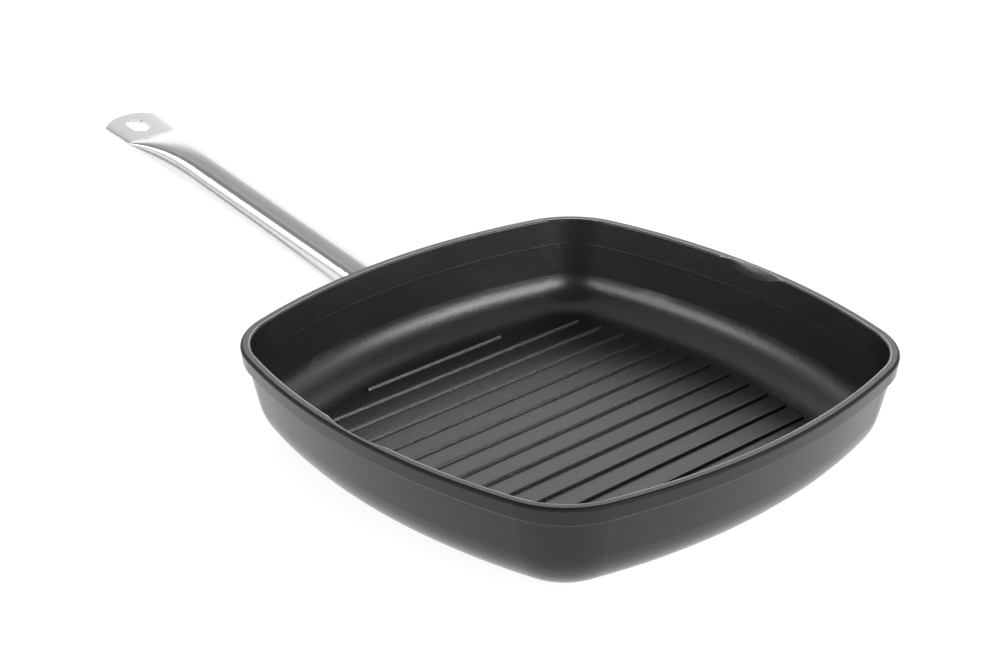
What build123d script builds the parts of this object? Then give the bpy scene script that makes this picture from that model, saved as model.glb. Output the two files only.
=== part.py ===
from build123d import *
import os
from math import atan2, cos, degrees, radians, sin, sqrt, tan

# A square grill pan with bulged sides, cast in aluminium, and a round steel tube handle.
# Millimetres. The origin is the middle of the underside, +Z is up and the handle runs along +Y.

# Plan shape of the rim: four side arcs joined by four corner arcs, all tangent.
pan_half_width = 140.0
side_arc_radius = 340.0
corner_radius = 46.0

# Upright sizes of the casting.
pan_height = 55.0
floor_thickness = 7.6
lip_height = 8.5
lip_lean = 1.0
lip_lower_round = 1.0
wall_step = 3.7
wall_step_drop = 2.0
wall_step_blend = 1.5
outer_draft = 12.0
outer_base_round = 30.2

# The rim and the inside of the wall.
rim_width = 5.1
rim_outer_round = 1.4
rim_inner_round = 1.0
inner_draft = 12.5
inner_floor_round = 22.0

# The middle of the base is a flat plate; the walls are swept round it.
base_plate_margin = 3.5

# The ribs on the cooking floor run across the handle, as many as the floor takes.
rib_pitch = 14.4
rib_width = 3.3
rib_height = 1.4
rib_side_lean = 24.0
rib_top_round = 0.4
rib_root = 1.5
rib_end_gap = 2.2

# The pouring scoops in the rim on the two sides. Each leaves the outer edge of the rim standing.
spout_half_chord = 23.0
spout_depth = 5.2
spout_roll_radius = 12.0
spout_edge_width = 2.6

# The handle's axis rises from the pan; its height is given at the pan's middle.
handle_rise = 8.64
handle_axis_height = 10.5

# The cast neck carries the handle: it starts inside the wall and ends in a shoulder and a lug.
neck_reach = 7.0
neck_length = 21.0
neck_wall_radius = 15.5
neck_shoulder_radius = 12.0
neck_shoulder_chamfer = 0.6
neck_waist_radius = 45.0
lug_length = 40.0
lug_chamfer = 1.5
lug_fit = 0.1

# The tube is round, then pressed flat at its free end.
tube_radius = 11.0
tube_wall = 1.0
tube_round_length = 148.0
flare_length = 63.0
flare_growth = 2.7
tab_length = 29.8
tab_half_width_inner = 17.2
tab_half_width_tip = 18.3
tab_half_thickness = 1.05
tab_tip_radius = 25.0
tab_corner_round = 2.2
round_fullness = 0.5523
tab_fullness = 0.97
flare_steps = 8
hollow_steps = 7

# The hanging hole is a long hexagon.
hole_to_tip = 14.6
hole_half_width = 5.9
hole_half_length = 9.0
hole_half_flat = 4.9
hole_corner_round = 1.2

# One countersunk screw holds the tube on the lug from below.
screw_to_shoulder = 23.0
screw_radius = 2.5
screw_length = 15.0
screw_head_radius = 4.8
screw_head_sink = 0.5
screw_head_rim = 0.4
screw_tip_chamfer = 0.6
screw_fit = 0.05
screw_hole_spare = 1.5
socket_across_flats = 3.0
socket_depth = 1.8

os.makedirs("parts", exist_ok=True)

# The side arcs' centres lie beyond the middle; the corner centres lie on the diagonals.
side_centre = pan_half_width - side_arc_radius
corner_reach = side_arc_radius - corner_radius
corner_centre = (side_centre + sqrt(2 * corner_reach**2 - side_centre**2)) / 2
side_half_angle = degrees(atan2(corner_centre, corner_centre - side_centre))

# Where the outer wall would meet the underside, and the inner wall the floor, without their rounds.
wall_step_height = pan_height - lip_height - wall_step_drop
base_inset = wall_step + wall_step_height * tan(radians(outer_draft))
inner_floor_inset = rim_width + (pan_height - floor_thickness) * tan(radians(inner_draft))

# Where those rounds end: the flat plate and the ribs lie inside them.
outer_base_edge = base_inset + outer_base_round * tan(radians((90 - outer_draft) / 2))
inner_floor_edge = inner_floor_inset + inner_floor_round * tan(radians((90 - inner_draft) / 2))
base_plate_inset = max(outer_base_edge, inner_floor_edge) + base_plate_margin
rib_end_inset = inner_floor_edge + rib_end_gap
rib_count = 1 + 2 * int((pan_half_width - rib_end_inset - rib_width / 2) / rib_pitch)

# Distances along the handle's axis, from the pan's middle.
neck_shoulder_at = pan_half_width + neck_reach
neck_start_at = neck_shoulder_at - neck_length
lug_end_at = neck_shoulder_at + lug_length
screw_at = neck_shoulder_at + screw_to_shoulder
flare_start_at = neck_shoulder_at + tube_round_length
flat_start_at = flare_start_at + flare_length
handle_tip_at = flat_start_at + tab_length
hole_centre_at = handle_tip_at - hole_to_tip


def outline_arcs():
    """The arcs of the plan shape: centre, radius at the rim, first angle and size of each."""
    arcs = []
    for turn in (0, 90, 180, 270):
        side = Vector(side_centre, 0).rotate(Axis.Z, turn)
        corner = Vector(corner_centre, corner_centre).rotate(Axis.Z, turn)
        arcs.append((side, side_arc_radius, turn - side_half_angle, 2 * side_half_angle))
        arcs.append((corner, corner_radius, turn + side_half_angle, 90 - 2 * side_half_angle))
    return arcs


def plan_shape(inset, height):
    """The plan shape, moved inwards by the inset, as a level face at the height."""
    with BuildSketch(Plane.XY.offset(height)) as shape:
        with BuildLine():
            for centre, radius, first, size in outline_arcs():
                CenterArc(centre, radius - inset, first, size)
        make_face()
    return shape.sketch


def swept_wall(points, rounds):
    """A wall section, given as inset and height, revolved round every arc of the outline."""
    for centre, radius, first, size in outline_arcs():
        outward = Vector(1, 0, 0).rotate(Axis.Z, first)
        section_plane = Plane(origin=centre, x_dir=outward, z_dir=outward.cross(Vector(0, 0, 1)))
        with BuildSketch(section_plane) as section:
            with BuildLine():
                FilletPolyline(*[(radius - inset, z) for inset, z in points], radius=rounds, close=True)
            make_face()
        revolve(section.sketch, axis=Axis(centre, (0, 0, 1)), revolution_arc=size)


def outline_half_length(y, inset):
    """Half the length of a line across the plan shape at the distance y from the middle."""
    y = abs(y)
    side_radius = side_arc_radius - inset
    round_radius = corner_radius - inset
    if y <= side_radius * sin(radians(side_half_angle)):
        return side_centre + sqrt(side_radius**2 - y**2)
    if y <= corner_centre + round_radius * cos(radians(side_half_angle)):
        return corner_centre + sqrt(round_radius**2 - (y - corner_centre) ** 2)
    return sqrt(side_radius**2 - (y - side_centre) ** 2)


def handle_point(along):
    """The point of the handle's axis at a distance along it."""
    rise = radians(handle_rise)
    return Vector(0, along * cos(rise), handle_axis_height + along * sin(rise))


handle_direction = Vector(0, cos(radians(handle_rise)), sin(radians(handle_rise)))
handle_upward = Vector(0, -sin(radians(handle_rise)), cos(radians(handle_rise)))


def across_handle(along):
    """The plane square to the handle's axis, with its y axis pointing upwards."""
    return Plane(origin=handle_point(along), x_dir=(-1, 0, 0), z_dir=handle_direction)


def pressed_section(along, half_width, half_height, fullness):
    """A section of the handle, from four Bezier quarters: fuller ones have squarer corners."""
    with BuildSketch(across_handle(along)) as section:
        with BuildLine():
            for right, up in ((1, 1), (-1, 1), (-1, -1), (1, -1)):
                Bezier(
                    (right * half_width, 0),
                    (right * half_width, up * half_height * fullness),
                    (right * half_width * fullness, up * half_height),
                    (0, up * half_height),
                )
        make_face()
    return section.sketch


def flare_section(share, shrink):
    """A section between the round tube, share 0, and the flat tab, share 1."""
    pressed = share**flare_growth
    half_height = tube_radius + (tab_half_thickness - tube_radius) * pressed
    half_width = tube_radius + (tab_half_width_inner - tube_radius) * pressed
    fullness = round_fullness + (tab_fullness - round_fullness) * sqrt(pressed)
    along = flare_start_at + flare_length * share
    return pressed_section(along, half_width - shrink, half_height - shrink, fullness)


def screw_section(fit, head_space, tip_space):
    """Half of the screw's lengthwise section, grown by the fit, for a revolve."""
    face = -(tube_radius - screw_head_sink)
    head_end = face + screw_head_rim + screw_head_radius - screw_radius
    tip = face + screw_length + tip_space
    plane = Plane(origin=handle_point(screw_at), x_dir=(1, 0, 0), z_dir=-handle_direction)
    with BuildSketch(plane) as section:
        with BuildLine():
            Polyline(
                (0, face - head_space),
                (screw_head_radius + fit, face - head_space),
                (screw_head_radius + fit, face + screw_head_rim),
                (screw_radius + fit, head_end),
                (screw_radius + fit, tip - screw_tip_chamfer),
                (screw_radius + fit - screw_tip_chamfer, tip),
                (0, tip),
                close=True,
            )
        make_face()
    return section.sketch


# The casting's outside, as a full block.
outer_points = [
    (base_plate_inset, 0),
    (base_inset, 0),
    (wall_step, wall_step_height),
    (lip_lean, pan_height - lip_height),
    (0, pan_height),
    (base_plate_inset, pan_height),
]
outer_rounds = [0, outer_base_round, wall_step_blend, lip_lower_round, rim_outer_round, 0]

with BuildPart() as outer_form:
    swept_wall(outer_points, outer_rounds)
    extrude(plan_shape(base_plate_inset, 0), amount=pan_height)

# The space inside the pan, open above the rim.
cavity_top = pan_height + lip_height
cavity_points = [
    (base_plate_inset, floor_thickness),
    (inner_floor_inset, floor_thickness),
    (rim_width, pan_height),
    (rim_width - rim_inner_round, pan_height),
    (rim_width - rim_inner_round, cavity_top),
    (base_plate_inset, cavity_top),
]
cavity_rounds = [0, inner_floor_round, rim_inner_round, 0, 0, 0]

with BuildPart() as cavity_form:
    swept_wall(cavity_points, cavity_rounds)
    extrude(plan_shape(base_plate_inset, floor_thickness), amount=cavity_top - floor_thickness)

# The pan: one casting with the neck and lug for the handle, the ribs and the pouring scoops.
lug_radius = tube_radius - tube_wall - lug_fit
screw_axis = Axis(handle_point(screw_at), handle_upward)
handle_axis = Axis(handle_point(0), handle_direction)
handle_level = Plane(origin=handle_point(0), x_dir=(1, 0, 0), z_dir=handle_upward)
rib_top = floor_thickness + rib_height
rib_spread = 2 * rib_root * tan(radians(rib_side_lean))

# The scoop's section is a circle through the edge that stays and a point low on the inner wall.
spout_edge_point = Vector(pan_half_width - spout_edge_width, pan_height)
spout_low_inset = rim_width + spout_depth * tan(radians(inner_draft))
spout_low_point = Vector(pan_half_width - spout_low_inset, pan_height - spout_depth)
spout_chord = spout_edge_point - spout_low_point
roll_direction = spout_chord.normalized().rotate(Axis.Z, 90)
roll_reach = sqrt(spout_roll_radius**2 - (spout_chord.length / 2) ** 2)
roll_centre = (spout_edge_point + spout_low_point) / 2 + roll_direction * roll_reach
spout_sweep_radius = (spout_half_chord**2 + spout_depth**2) / (2 * spout_depth)
spout_sweep_height = spout_low_point.Y + spout_sweep_radius

with BuildPart() as pan_body:
    add(outer_form.part)
    with BuildSketch(handle_level):
        with BuildLine():
            neck_foot = (neck_wall_radius, neck_start_at)
            neck_waist_end = (neck_shoulder_radius, neck_shoulder_at - neck_shoulder_chamfer)
            RadiusArc(neck_foot, neck_waist_end, neck_waist_radius)
            Polyline(
                neck_waist_end,
                (neck_shoulder_radius - neck_shoulder_chamfer, neck_shoulder_at),
                (lug_radius, neck_shoulder_at),
                (lug_radius, lug_end_at - lug_chamfer),
                (lug_radius - lug_chamfer, lug_end_at),
                (0, lug_end_at),
                (0, neck_start_at),
                neck_foot,
            )
        make_face()
    revolve(axis=handle_axis)
    add(cavity_form.part, mode=Mode.SUBTRACT)
    revolve(screw_section(screw_fit, tube_radius, screw_hole_spare), axis=screw_axis, mode=Mode.SUBTRACT)

    for number in range(rib_count):
        rib_y = (number - (rib_count - 1) / 2) * rib_pitch
        rib_length = 2 * outline_half_length(rib_y, rib_end_inset)
        with BuildSketch(Plane.XY.offset(floor_thickness - rib_root)):
            with Locations((0, rib_y)):
                SlotOverall(rib_length + rib_spread, rib_width + rib_spread)
        extrude(amount=rib_root + rib_height, taper=rib_side_lean)
    level_edges = pan_body.edges().filter_by(Plane.XY)
    rib_edges = level_edges.filter_by_position(Axis.Z, rib_top - rib_top_round, rib_top + rib_top_round)
    fillet(rib_edges, rib_top_round)

    for side in (-1, 1):
        with BuildSketch(Plane.XZ):
            with Locations((side * roll_centre.X, roll_centre.Y)):
                Circle(spout_roll_radius)
        revolve(axis=Axis((0, 0, spout_sweep_height), (1, 0, 0)), mode=Mode.SUBTRACT)

# The handle: a steel tube on the lug, flared and pressed flat into a tab with a hanging hole.
tab_side_end_at = handle_tip_at - tab_tip_radius + sqrt(tab_tip_radius**2 - tab_half_width_tip**2)
tab_trim_length = handle_tip_at - tab_side_end_at + tab_tip_radius

with BuildPart() as handle_tube:
    round_section = pressed_section(neck_shoulder_at, tube_radius, tube_radius, round_fullness)
    extrude(round_section, amount=tube_round_length)
    loft([flare_section(step / flare_steps, 0) for step in range(flare_steps + 1)])
    tab_start = pressed_section(flat_start_at, tab_half_width_inner, tab_half_thickness, tab_fullness)
    tab_end = pressed_section(tab_side_end_at, tab_half_width_tip, tab_half_thickness, tab_fullness)
    loft([tab_start, tab_end])
    extrude(tab_end, amount=tab_trim_length)

    bore_radius = tube_radius - tube_wall
    bore_section = pressed_section(neck_shoulder_at, bore_radius, bore_radius, round_fullness)
    extrude(bore_section, amount=tube_round_length, mode=Mode.SUBTRACT)
    hollow_sections = [flare_section(step / flare_steps, tube_wall) for step in range(hollow_steps + 1)]
    loft(hollow_sections, mode=Mode.SUBTRACT)

    with BuildSketch(handle_level) as tab_outline:
        with BuildLine():
            tip_left = (-tab_half_width_tip, tab_side_end_at)
            tip_right = (tab_half_width_tip, tab_side_end_at)
            Polyline(
                tip_left,
                (-tab_half_width_tip, flat_start_at),
                (-2 * tab_half_width_tip, flat_start_at),
                (-2 * tab_half_width_tip, 0),
                (2 * tab_half_width_tip, 0),
                (2 * tab_half_width_tip, flat_start_at),
                (tab_half_width_tip, flat_start_at),
                tip_right,
            )
            ThreePointArc(tip_left, (0, handle_tip_at), tip_right)
        make_face()
        fillet(tab_outline.vertices().sort_by(Axis.Y)[-2:], tab_corner_round)
    extrude(amount=2 * tube_radius, both=True, mode=Mode.INTERSECT)

    with BuildSketch(handle_level):
        with BuildLine():
            FilletPolyline(
                (0, hole_centre_at - hole_half_length),
                (hole_half_width, hole_centre_at - hole_half_flat),
                (hole_half_width, hole_centre_at + hole_half_flat),
                (0, hole_centre_at + hole_half_length),
                (-hole_half_width, hole_centre_at + hole_half_flat),
                (-hole_half_width, hole_centre_at - hole_half_flat),
                radius=hole_corner_round,
                close=True,
            )
        make_face()
    extrude(amount=tube_radius, both=True, mode=Mode.SUBTRACT)
    revolve(screw_section(screw_fit, tube_radius, 0), axis=screw_axis, mode=Mode.SUBTRACT)

# The fixing screw, with a hexagonal socket in its head.
screw_face_plane = Plane(
    origin=handle_point(screw_at) - handle_upward * (tube_radius - screw_head_sink),
    x_dir=(1, 0, 0),
    z_dir=handle_upward,
)

with BuildPart() as handle_screw:
    revolve(screw_section(0, 0, 0), axis=screw_axis)
    with BuildSketch(screw_face_plane):
        RegularPolygon(socket_across_flats / 2, 6, major_radius=False)
    extrude(amount=socket_depth, mode=Mode.SUBTRACT)

for name, piece in (("pan_body", pan_body), ("handle_tube", handle_tube), ("handle_screw", handle_screw)):
    piece.part.label = name
    export_step(piece.part, f"parts/{name}.step")
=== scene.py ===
# A square cast grill pan with a pressed steel tube handle, on a white floor in soft studio light.
from math import cos, radians, sin, sqrt

import bpy
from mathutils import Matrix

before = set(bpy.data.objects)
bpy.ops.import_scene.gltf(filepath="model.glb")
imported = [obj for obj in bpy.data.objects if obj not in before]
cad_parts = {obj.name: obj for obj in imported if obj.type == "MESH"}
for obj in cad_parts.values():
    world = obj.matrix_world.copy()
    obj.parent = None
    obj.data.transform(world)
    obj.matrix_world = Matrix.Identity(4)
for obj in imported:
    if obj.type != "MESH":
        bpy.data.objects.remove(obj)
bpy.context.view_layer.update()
print("frame loaded:", ", ".join(sorted(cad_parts)))


# Shader maths: a wire is one output of a node, and Python's operators add Math nodes to its tree.
class Wire:
    def __init__(self, tree, socket):
        self.tree = tree
        self.socket = socket

    def math(self, operation, first, second=0.0):
        return self.tree.add("ShaderNodeMath", {"operation": operation}, {0: first, 1: second})

    def __add__(self, other):
        return self.math("ADD", self, other)

    __radd__ = __add__

    def __sub__(self, other):
        return self.math("SUBTRACT", self, other)

    def __rsub__(self, other):
        return self.math("SUBTRACT", other, self)

    def __mul__(self, other):
        return self.math("MULTIPLY", self, other)

    __rmul__ = __mul__

    def __truediv__(self, other):
        return self.math("DIVIDE", self, other)

    def __rtruediv__(self, other):
        return self.math("DIVIDE", other, self)

    def __gt__(self, other):
        return self.math("GREATER_THAN", self, other)

    def __lt__(self, other):
        return self.math("LESS_THAN", self, other)

    def abs(self):
        return self.math("ABSOLUTE", self)

    def max(self, other):
        return self.math("MAXIMUM", self, other)

    def min(self, other):
        return self.math("MINIMUM", self, other)

    def hypot(self, other):
        return self.math("SQRT", self * self + other * other)

    def smooth(self, low, high, start=0.0, end=1.0):  # start at low, end at high, eased between
        inputs = {"Value": self, "From Min": low, "From Max": high, "To Min": start, "To Max": end}
        return self.tree.add("ShaderNodeMapRange", {"interpolation_type": "SMOOTHSTEP"}, inputs)

    def fade(self, low, high, start=1.0):  # start at low, nothing from high on, eased between
        return self.smooth(low, high, start, 0.0)

    def out(self, name):  # another output of the same node
        return Wire(self.tree, self.socket.node.outputs[name])


# The nodes of a material or a world. Any node is made by add: its type, its settings, then its inputs.
class NodeTree:
    def __init__(self, owner):
        owner.use_nodes = True
        self.tree = owner.node_tree
        self.tree.nodes.clear()

    def add(self, kind, settings=None, inputs=None):
        node = self.tree.nodes.new(kind)
        for name, value in (settings or {}).items():
            if name == "stops":
                setStops(node.color_ramp, value)
            else:
                setattr(node, name, value)
        for name, value in (inputs or {}).items():
            if isinstance(value, Wire):
                self.tree.links.new(value.socket, node.inputs[name])
            else:
                node.inputs[name].default_value = value
        live = [socket for socket in node.outputs if socket.enabled]
        return Wire(self, live[0]) if live else None

    def noise(self, place, scale, detail=2.0, roughness=0.5):
        inputs = {"Vector": place, "Scale": scale, "Detail": detail, "Roughness": roughness}
        return self.add("ShaderNodeTexNoise", None, inputs)

    def stretched(self, place, scale, turn=(0.0, 0.0, 0.0)):  # the place, scaled and turned for a pattern
        inputs = {"Vector": place, "Scale": scale, "Rotation": turn}
        return self.add("ShaderNodeMapping", None, inputs)

    def mixColour(self, factor, first, second):
        inputs = {"Factor": factor, 6: first, 7: second}  # 6 and 7 are the node's two colours
        return self.add("ShaderNodeMix", {"data_type": "RGBA"}, inputs)

    def mixShader(self, factor, first, second):
        return self.add("ShaderNodeMixShader", None, {0: factor, 1: first, 2: second})

    def addShader(self, first, second):
        return self.add("ShaderNodeAddShader", None, {0: first, 1: second})

    def bump(self, height, distance):
        return self.add("ShaderNodeBump", None, {"Height": height, "Distance": distance})

    def surface(self, shader, output="ShaderNodeOutputMaterial"):
        self.add(output, None, {"Surface": shader})


def setStops(ramp, stops):  # each stop is a place on the ramp and a grey tone
    while len(ramp.elements) < len(stops):
        ramp.elements.new(0.5)  # the loop below moves it
    for element, (place, tone) in zip(ramp.elements, stops):
        element.position = place
        element.color = (tone, tone, tone, 1.0)


def newMaterial(name):
    material = bpy.data.materials.new(name)
    return material, NodeTree(material)


# The coated casting. The sizes are in metres, and those of the casting repeat the part's own.
panCoating = {
    "halfWidth": 0.140,
    "sideArcRadius": 0.340,
    "cornerRadius": 0.046,
    "rimHeight": 0.055,
    "rimRound": 0.0014,
    "rimInnerEdge": 0.00435,
    "lipEdgeHeight": 0.0462,
    "scoopSweepHeight": 0.103265,
    "scoopRoll": (0.126105, 0.059052, 0.012),  # its centre across and up, and its radius
    # The middle of the wall: its inset at a height, how it leans, and how much more it leans low down.
    "wallInset": 0.0059,
    "wallHeight": 0.041,
    "wallLean": 0.25,
    "lowWallHeight": 0.025,
    "lowWallLean": 0.40,
    "wallBlend": 0.0006,
    "baseBlend": (0.0058, 0.0066),  # the heights between which the underside's finish ends
    "flatRimDepth": 0.0006,
    # Painted shade: a darker, duller coat on the rim's outer rounding, and a painted shadow line along the
    # lip's lower edge.
    "roundDrop": (0.0020, 0.0012),  # below the rim's top, where it starts and is full
    "roundBlend": (0.0001, 0.0002),  # before and behind the end of the rounding
    "lipShadowLine": (0.0004, 0.0009),
    "lipShadowStrength": 0.7,
    "lipShadowReach": 0.0030,
    # Painted highlight: a pale line along the rim's edges, broken into patches.
    "highlightWidth": (0.0002, 0.0005),
    "highlightDepth": 0.0007,
    "highlightInset": 0.0012,
    "highlightPatches": (0.3, 0.6),
    "highlightLeast": 0.55,
    "colourPaintedHighlight": (0.30, 0.30, 0.305, 1.0),
    # The grain: its own size, the pits and flecks by their fineness beside it, and the relief.
    "grainSize": 0.0009,
    "grainHeight": 0.0001,
    "grainOutside": 0.18,
    "pitFineness": 0.35,
    "pitDepth": 0.6,
    "fleckFineness": 1.35,
    "fleckRange": (0.66, 0.76),
    "colourFleck": (0.012, 0.012, 0.0125, 1.0),
    "cloudScale": 22.0,
    # A faint line round the inner wall.
    "lineHeight": 0.041,
    "lineWidth": (0.0002, 0.0007),
    "lineDepth": 0.3,
    # The inside and outside finishes and the painted shade's darker coat: swing is how much the roughness
    # varies from cloud to cloud.
    "inside": {"colour": (0.006, 0.006, 0.0063, 1.0), "roughness": 0.27, "swing": 0.08, "lightBend": 1.62},
    "outside": {"colour": (0.009, 0.009, 0.0095, 1.0), "roughness": 0.28, "swing": 0.10, "lightBend": 1.4},
    "paintedShadeCoat": {"colour": (0.006, 0.006, 0.0063, 1.0), "roughness": 0.55, "swing": 0.08, "lightBend": 1.3},
}


def insetFromOutline(x, y):  # how far a point is inside the rim's outline, four side arcs and four corners
    sideRadius, cornerRadius = panCoating["sideArcRadius"], panCoating["cornerRadius"]
    sideCentre = panCoating["halfWidth"] - sideRadius
    reach = sideRadius - cornerRadius
    cornerCentre = (sideCentre + sqrt(2 * reach**2 - sideCentre**2)) / 2
    across, along = x.abs(), y.abs()
    big, small = across.max(along), across.min(along)
    fromSide = sideRadius - (big - sideCentre).hypot(small)
    fromCorner = cornerRadius - (big - cornerCentre).hypot(small - cornerCentre)
    inCorner = small * (cornerCentre - sideCentre) > (big - sideCentre) * cornerCentre
    return fromSide + (fromCorner - fromSide) * inCorner


def insideMask(inset, z):  # 1 on the cooking side and the flat of the rim, 0 on the outside
    values = panCoating
    middle = values["wallInset"] + (values["wallHeight"] - z) * values["wallLean"]
    middle = middle + (values["lowWallHeight"] - z).max(0.0) * values["lowWallLean"]
    inside = (inset - middle).smooth(-values["wallBlend"], values["wallBlend"])
    inside = inside * z.smooth(*values["baseBlend"])
    flatRim = (z > values["rimHeight"] - values["flatRimDepth"]) * (inset > values["rimRound"])
    return inside.max(flatRim)


# Painted shade: where the darker, duller coat goes, on the rim's rounding and as a shadow line under the
# lip.
def paintedShadeMask(inset, z):  # 1 on the rim's outer rounding, less along the lip's lower edge
    values = panCoating
    low, high = [values["rimHeight"] - drop for drop in values["roundDrop"]]
    before, behind = values["roundBlend"]
    rounding = z.smooth(low, high) * inset.fade(values["rimRound"] - before, values["rimRound"] + behind)
    line = (z - values["lipEdgeHeight"]).abs().fade(*values["lipShadowLine"], values["lipShadowStrength"])
    return rounding.max(line * (inset < values["lipShadowReach"]))


def rimHighlightMask(inset, x, y, z):  # 1 on the rim's inner edge and where the scoops' rolls leave the rim
    values = panCoating
    rollAcross, rollUp, rollRadius = values["scoopRoll"]
    swung = values["scoopSweepHeight"] - y.hypot(z - values["scoopSweepHeight"])
    fromScoop = ((x.abs() - rollAcross).hypot(swung - rollUp) - rollRadius).abs()
    fromInnerEdge = (inset - values["rimInnerEdge"]).abs()
    edge = fromInnerEdge.min(fromScoop).fade(*values["highlightWidth"])
    edge = edge * (z > values["rimHeight"] - values["highlightDepth"])
    return edge * (inset > values["highlightInset"])


def coatFinish(tree, finish, cloud, more):  # a noise such as cloud swings round 0.5
    roughness = finish["roughness"] + (cloud - 0.5) * finish["swing"]
    inputs = {"Base Color": finish["colour"], "Roughness": roughness, "IOR": finish["lightBend"]}
    return tree.add("ShaderNodeBsdfPrincipled", None, {**inputs, **more})


def coatedCasting():
    values = panCoating
    material, tree = newMaterial("coated_casting")
    place = tree.add("ShaderNodeTexCoord").out("Object")
    split = tree.add("ShaderNodeSeparateXYZ", None, {"Vector": place})
    x, y, z = split.out("X"), split.out("Y"), split.out("Z")
    inset = insetFromOutline(x, y)
    inside = insideMask(inset, z)

    grain = tree.noise(place, 1 / values["grainSize"], detail=3.0, roughness=0.62)
    pits = tree.noise(place, values["pitFineness"] / values["grainSize"], detail=2.0)
    fleck = tree.noise(place, values["fleckFineness"] / values["grainSize"], detail=0.0)
    cloud = tree.noise(place, values["cloudScale"], detail=3.0)

    fleck = fleck.smooth(*values["fleckRange"])
    colour = tree.mixColour(fleck, values["inside"]["colour"], values["colourFleck"])
    # Painted highlight: a pale colour on the rim's inner edge and the scoops' edges, in patches.
    paintedHighlight = rimHighlightMask(inset, x, y, z) * cloud.smooth(*values["highlightPatches"], values["highlightLeast"], 1.0)
    colour = tree.mixColour(paintedHighlight, colour, values["colourPaintedHighlight"])

    line = (z - values["lineHeight"]).abs().fade(*values["lineWidth"], values["lineDepth"]) * inside
    relief = values["grainOutside"] + (1 - values["grainOutside"]) * inside
    height = (grain + values["pitDepth"] * pits) * relief + line
    normal = tree.bump(height, values["grainHeight"])

    outer = coatFinish(tree, values["outside"], cloud, {"Normal": normal})
    inner = coatFinish(tree, values["inside"], cloud, {"Base Color": colour, "Normal": normal})
    # The painted shade's coat, darker and less reflective than the outside, mixed in over the rim's rounding
    # and the lip's shadow line.
    paintedShadeCoat = coatFinish(tree, values["paintedShadeCoat"], cloud, {})
    coated = tree.mixShader(inside, outer, inner)
    tree.surface(tree.mixShader(paintedShadeMask(inset, z), coated, paintedShadeCoat))
    return material


def bareSteel(tree, colour, roughness, normal):
    inputs = {"Base Color": colour, "Metallic": 1.0, "Roughness": roughness, "Normal": normal}
    tree.surface(tree.add("ShaderNodeBsdfPrincipled", None, inputs))


# The handle's satin steel, brushed along its length, which rises by some degrees.
handleFinish = {
    "colour": (0.62, 0.62, 0.625, 1.0),
    "colourDull": (0.56, 0.56, 0.57, 1.0),
    "roughness": 0.17,
    "brushSwing": 0.08,
    "cloudSwing": 0.04,
    "cloudScale": 30.0,
    "rise": 8.64,
    "brushWidth": 0.00035,
    "brushLength": 0.020,
    "brushHeight": 0.0000035,
}


def handleSteel():
    values = handleFinish
    material, tree = newMaterial("handle_steel")
    place = tree.add("ShaderNodeTexCoord").out("Object")
    level = tree.stretched(place, (1.0, 1.0, 1.0), (-radians(values["rise"]), 0.0, 0.0))
    across, along = 1 / values["brushWidth"], 1 / values["brushLength"]
    brushed = tree.noise(tree.stretched(level, (across, along, across)), 1.0, roughness=0.6)
    cloud = tree.noise(place, values["cloudScale"])
    colour = tree.mixColour(brushed, values["colour"], values["colourDull"])
    roughness = values["roughness"] + (brushed - 0.5) * values["brushSwing"]
    roughness = roughness + (cloud - 0.5) * values["cloudSwing"]
    bareSteel(tree, colour, roughness, tree.bump(brushed, values["brushHeight"]))
    return material


# The fixing screw's plain steel, with a fine grain and darker clouds.
screwFinish = {
    "colour": (0.50, 0.50, 0.51, 1.0),
    "colourDull": (0.34, 0.34, 0.35, 1.0),
    "dullRange": (0.35, 0.7),
    "cloudScale": 260.0,
    "roughness": 0.28,
    "grainSwing": 0.16,
    "grainSize": 0.0004,
    "grainHeight": 0.000006,
}


def screwSteel():
    values = screwFinish
    material, tree = newMaterial("screw_steel")
    place = tree.add("ShaderNodeTexCoord").out("Object")
    grain = tree.noise(place, 1 / values["grainSize"], roughness=0.6)
    cloud = tree.noise(place, values["cloudScale"])
    colour = tree.mixColour(cloud.smooth(*values["dullRange"]), values["colour"], values["colourDull"])
    roughness = values["roughness"] + (grain - 0.5) * values["grainSwing"]
    bareSteel(tree, colour, roughness, tree.bump(grain, values["grainHeight"]))
    return material


for node, make in (("pan_body", coatedCasting), ("handle_tube", handleSteel), ("handle_screw", screwSteel)):
    finish = make()
    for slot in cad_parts[node].material_slots:
        slot.material = finish
    print("finish made:", node)


# The camera of the photograph: metres, degrees and millimetres.
view = {
    "place": (-0.7178, -0.7333, 0.5562),
    "turn": (64.208, 0.106, -42.555),
    "lens": 83.44,
    "sensor": 36.0,
}


def addCamera():
    camera = bpy.data.cameras.new("camera")
    camera.lens = view["lens"]
    camera.sensor_width = view["sensor"]
    holder = bpy.data.objects.new("camera", camera)
    holder.location = view["place"]
    holder.rotation_euler = [radians(angle) for angle in view["turn"]]
    bpy.context.scene.collection.objects.link(holder)
    bpy.context.scene.camera = holder


# A wide white floor that keeps the pan's shadow. Only mirrored rays see a dark card that lies on it
# beside the handle: a wedge, whose side and front edges fade between the two distances given.
floorValues = {
    "halfSize": 6.0,
    "colour": (0.22, 0.22, 0.22, 1.0),
    "ownLight": 0.90,
    "mirrorLight": 1.28,
    "cardLight": 0.25,
    "cardTurn": (0.8, 0.6),  # the cosine and the sine of the card's turn from the X axis
    "cardSlope": 4.4,
    "cardSide": (-0.30, -0.24),
    "cardFront": (0.08, 0.12),
}


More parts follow.
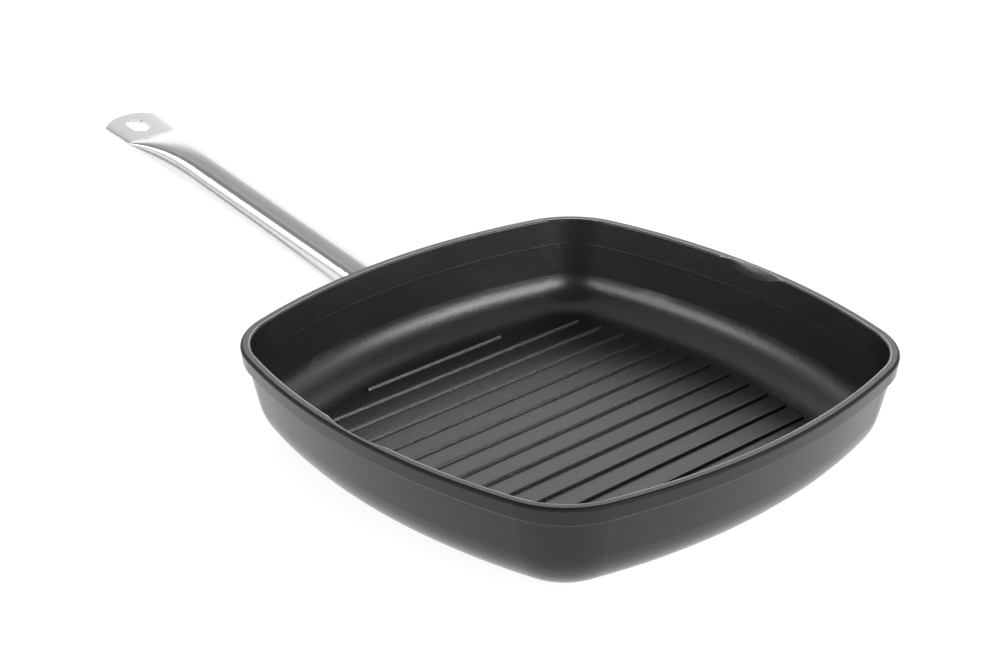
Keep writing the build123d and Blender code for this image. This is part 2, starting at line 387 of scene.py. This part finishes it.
def floorGlow(tree):  # the floor's own light: one value for the camera, one for glossy and transmission rays
    values = floorValues
    place = tree.add("ShaderNodeTexCoord").out("Object")
    split = tree.add("ShaderNodeSeparateXYZ", None, {"Vector": place})
    x, y = split.out("X"), split.out("Y")
    cosine, sine = values["cardTurn"]
    away = cosine * y - sine * x  # out to the left of the handle
    along = sine * y + cosine * x
    side = (away - values["cardSlope"] * along).smooth(*values["cardSide"])
    card = side * along.smooth(*values["cardFront"])
    mirrorLight = values["mirrorLight"] + (values["cardLight"] - values["mirrorLight"]) * card
    path = tree.add("ShaderNodeLightPath")
    mirrored = path.out("Is Glossy Ray").max(path.out("Is Transmission Ray"))
    return path.out("Is Camera Ray") * values["ownLight"] + mirrored * mirrorLight


def addFloor():
    bpy.ops.mesh.primitive_plane_add(size=2 * floorValues["halfSize"], location=(0.0, 0.0, 0.0))
    floor = bpy.context.object
    floor.name = "floor"
    material, tree = newMaterial("floor_white")
    diffuse = tree.add("ShaderNodeBsdfDiffuse", None, {"Color": floorValues["colour"]})
    glow = tree.add("ShaderNodeEmission", None, {"Strength": floorGlow(tree)})
    tree.surface(tree.addShader(diffuse, glow))
    floor.data.materials.append(material)


# The studio round the pan: tones on the left, ahead and on the right, a darker side behind the camera,
# and three softboxes. A stop is a height, as the sine of its angle, and a tone. A box is its direction,
# from straight ahead to the right, half its width, its lower and upper edge, all in degrees, and its light.
studio = {
    "ahead": (0.676, 0.737),
    "leastLevel": 0.001,  # keeps the direction's level part from 0, straight up
    "leftStops": (
        (0.0, 0.4),
        (0.08, 1.0),
        (0.4, 1.5),
        (0.52, 0.3),
        (0.67, 0.34),
        (0.745, 0.72),
        (0.8, 0.54),
    ),
    "frontStops": ((0.0, 1.5), (0.4, 1.5), (0.52, 1.1), (0.66, 0.85), (0.8, 0.62)),
    "rightStops": ((0.0, 1.3), (0.2, 1.5), (0.45, 1.2), (0.57, 0.3), (0.75, 0.3), (0.9, 0.54)),
    "brightestTone": 2.0,  # a ramp's colours end at 1, so the tones are divided by this on it
    "leftToFront": (-0.9, -0.35),
    "frontToRight": (0.2, 0.8),
    "behindTone": 0.22,
    "behindBlend": (-0.5, -0.1),
    "rightBox": (129.0, 30.0, 16.0, 33.0, 11.0),
    "leftBox": (-116.0, 24.0, 15.0, 27.0, 7.0),
    "frontBox": (22.0, 18.0, 27.0, 50.0, 0.6),
    "sideSoftness": (12.0, 10.0),  # how far a box's sides fade out and in, in degrees
    "edgeSoftness": 0.035,
    "whiteSeen": (1.0, 1.0, 1.0, 1.0),
}


def softbox(ahead, right, height, box):  # the light of one box, 0 outside it
    turn, halfWidth, low, high, light = box
    outwards, inwards = studio["sideSoftness"]
    soft = studio["edgeSoftness"]
    low, high = sin(radians(low)), sin(radians(high))
    facing = ahead * cos(radians(turn)) + right * sin(radians(turn))  # 1 straight at the box
    across = facing.smooth(cos(radians(halfWidth + outwards)), cos(radians(halfWidth - inwards)))
    upright = height.smooth(low - soft, low + soft) * height.fade(high - soft, high + soft)
    return across * upright * light


def addStudio():
    world = bpy.data.worlds.new("studio")
    bpy.context.scene.world = world
    tree = NodeTree(world)
    direction = tree.add("ShaderNodeTexCoord").out("Generated")
    split = tree.add("ShaderNodeSeparateXYZ", None, {"Vector": direction})
    x, y, z = split.out("X"), split.out("Y"), split.out("Z")
    aheadX, aheadY = studio["ahead"]
    level = x.hypot(y).max(studio["leastLevel"])
    ahead = (x * aheadX + y * aheadY) / level
    right = (x * aheadY - y * aheadX) / level

    brightest = studio["brightestTone"]
    tones = []
    for stops in (studio["leftStops"], studio["frontStops"], studio["rightStops"]):
        scaled = [(place, tone / brightest) for place, tone in stops]
        tones.append(tree.add("ShaderNodeValToRGB", {"stops": scaled}, {"Fac": z}))
    left, front, rightSide = tones
    tone = tree.mixColour(right.smooth(*studio["leftToFront"]), left, front)
    tone = tree.mixColour(right.smooth(*studio["frontToRight"]), tone, rightSide)
    strength = brightest * ahead.smooth(*studio["behindBlend"], studio["behindTone"], 1.0)
    ring = tree.add("ShaderNodeBackground", None, {"Color": tone, "Strength": strength})

    lamps = softbox(ahead, right, z, studio["rightBox"]) + softbox(ahead, right, z, studio["leftBox"])
    lamps = lamps + softbox(ahead, right, z, studio["frontBox"])
    boxes = tree.add("ShaderNodeBackground", None, {"Strength": lamps})
    white = tree.add("ShaderNodeBackground", None, {"Color": studio["whiteSeen"], "Strength": 1.0})
    seen = tree.add("ShaderNodeLightPath").out("Is Camera Ray")
    light = tree.mixShader(seen, tree.addShader(ring, boxes), white)
    tree.surface(light, "ShaderNodeOutputWorld")


addCamera()
addFloor()
addStudio()
bpy.context.scene.view_settings.view_transform = "Standard"
print("camera, floor and studio made")
